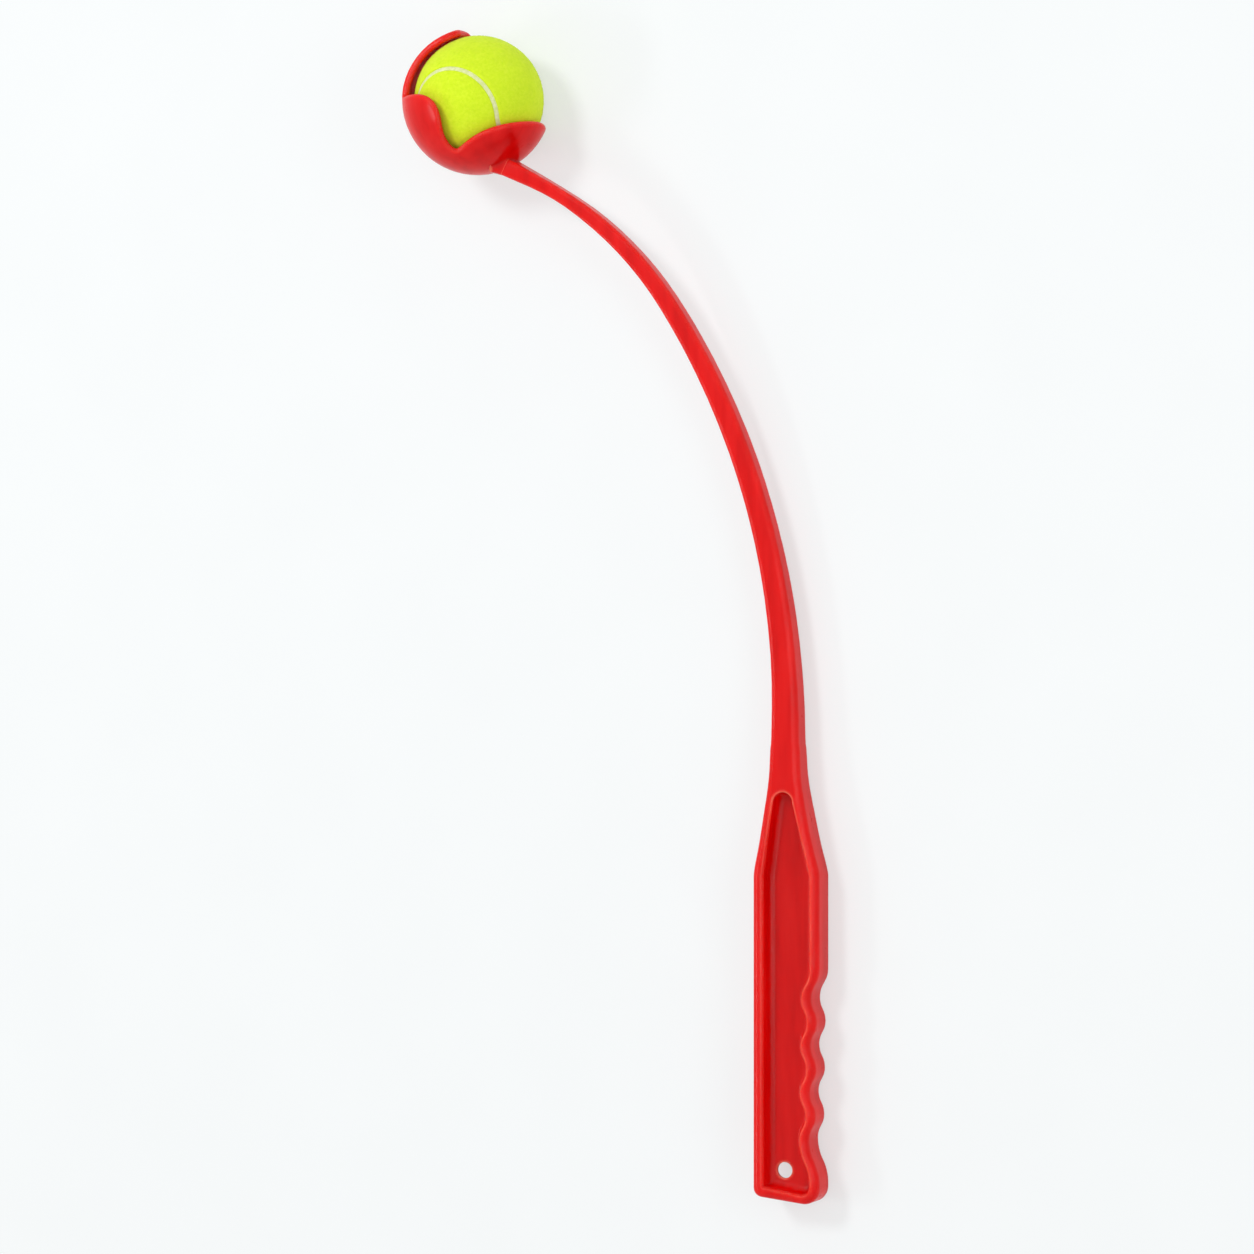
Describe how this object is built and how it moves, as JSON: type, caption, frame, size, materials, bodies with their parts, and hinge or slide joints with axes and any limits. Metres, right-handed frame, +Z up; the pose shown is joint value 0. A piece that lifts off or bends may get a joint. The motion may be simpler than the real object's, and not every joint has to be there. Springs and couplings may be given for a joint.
{
  "type": "hand-held ball thrower with ball",
  "caption": "Hand-held dog ball thrower: one curved plastic wand with a finger-grooved handle and an open cup with a springy claw that holds a tennis ball.",
  "frame": {"origin": "bottom centre of the bounding box, on the floor the thrower lies on", "axes": "+Y from the handle towards the cup, +X towards the side the fingers are on, +Z up from the floor"},
  "size_m": [0.2257, 0.5983, 0.0727],
  "materials": {
    "wand_plastic": "semi-gloss moulded polypropylene",
    "core_rubber": "matte moulded rubber",
    "ball_felt": "napped felt",
    "seam_rubber": "smooth cured seam rubber"
  },
  "bodies": {
    "thrower": {"thrower_wand": "wand_plastic"},
    "ball": {"ball_core_front": "core_rubber", "ball_core_back": "core_rubber", "ball_felt_panel_a": "ball_felt", "ball_felt_panel_b": "ball_felt", "ball_seam": "seam_rubber"}
  },
  "joints": [
    {"name": "ball_release", "type": "slide", "parent": "thrower", "child": "ball", "axis": [0.7719, 0.6358, 0.0033], "range_m": [0, 0.08], "deforming": ["ball_felt_panel_a", "ball_felt_panel_b", "ball_seam"]}
  ]
}
